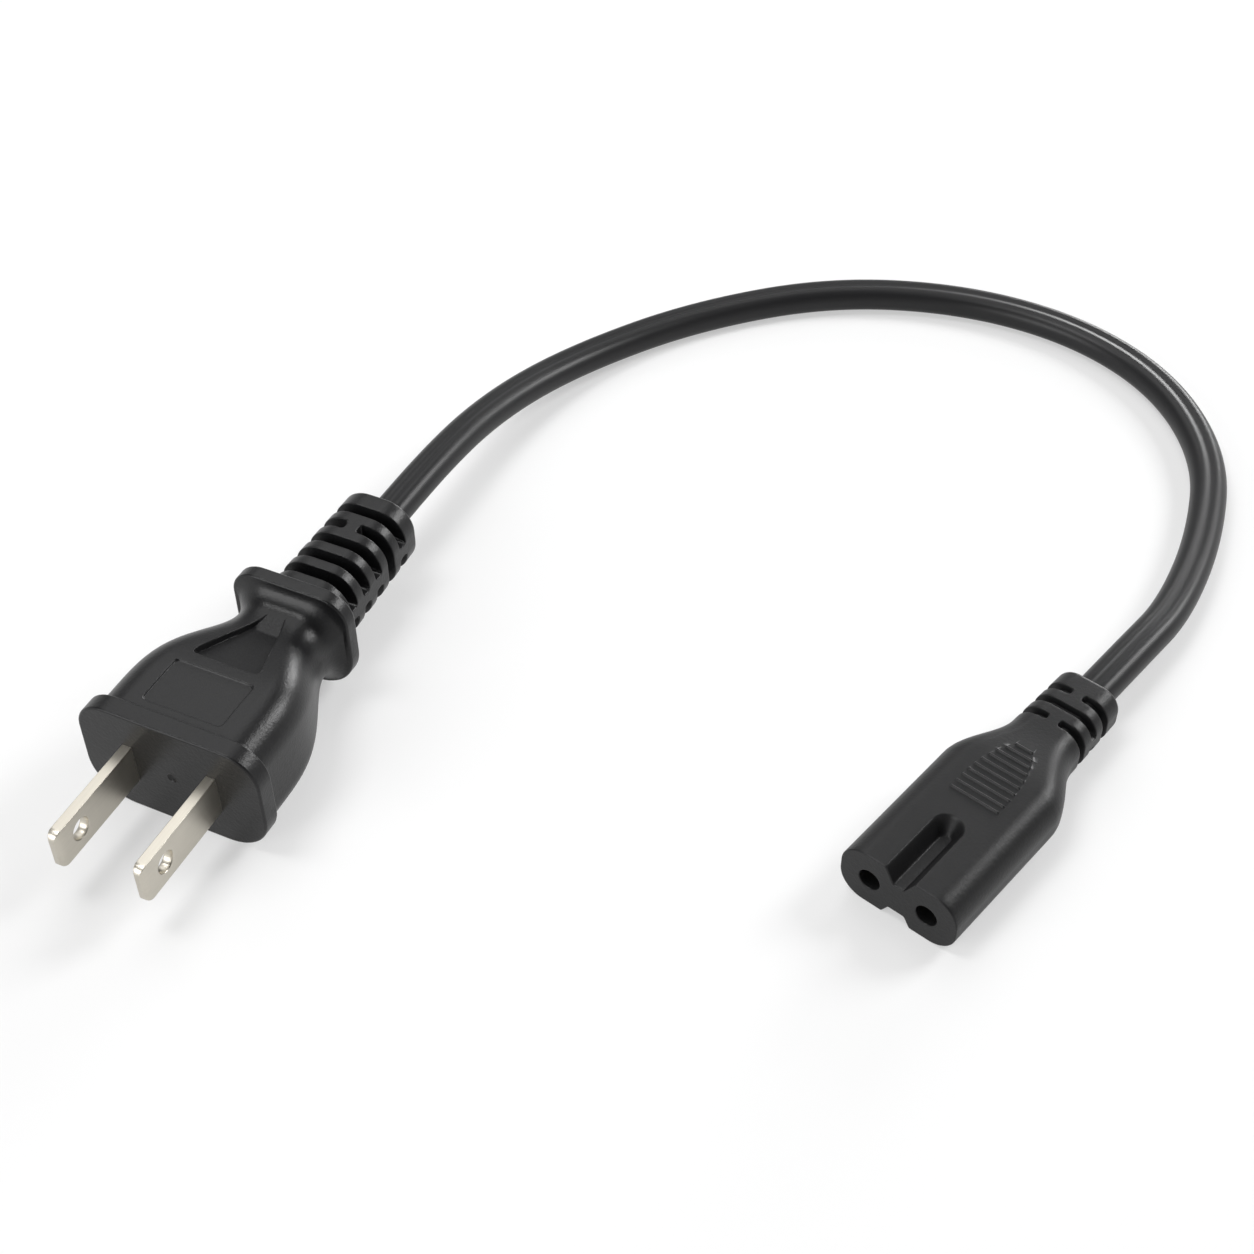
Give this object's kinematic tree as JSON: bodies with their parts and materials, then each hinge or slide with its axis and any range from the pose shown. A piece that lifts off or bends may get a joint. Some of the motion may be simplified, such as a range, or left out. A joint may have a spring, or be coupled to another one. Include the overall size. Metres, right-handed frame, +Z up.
{
  "type": "type a plug with cord and connector",
  "caption": "Moulded type A plug with flat blades, waisted body and slotted strain relief, on a short flat-oval cord that ends in a figure-eight connector.",
  "frame": {"origin": "on the floor under the middle of the plug, halfway from blade tips to the end of the strain relief", "axes": "+Z up from the floor, -Y out of the plug's mating face along the blades, +Y towards the cord"},
  "size_m": [0.1245, 0.1686, 0.0175],
  "materials": {
    "moulding": "satin moulded",
    "cord_jacket": "satin extruded",
    "blade_plating": "satin nickel plate",
    "hard_bridge": "moulded",
    "contact_metal": "stamped",
    "core_insulation": "extruded",
    "conductor_metal": "bare copper strand"
  },
  "bodies": {
    "root": {"blade_left": "blade_plating", "blade_right": "blade_plating", "connector_conductor_left": "conductor_metal", "connector_conductor_right": "conductor_metal", "connector_core_left": "core_insulation", "connector_core_right": "core_insulation", "connector_insert": "hard_bridge", "connector_overmould": "moulding", "contact_left": "contact_metal", "contact_right": "contact_metal", "cord": "cord_jacket", "plug_conductor_left": "conductor_metal", "plug_conductor_right": "conductor_metal", "plug_core_left": "core_insulation", "plug_core_right": "core_insulation", "plug_insert": "hard_bridge", "plug_overmould": "moulding"}
  },
  "joints": []
}
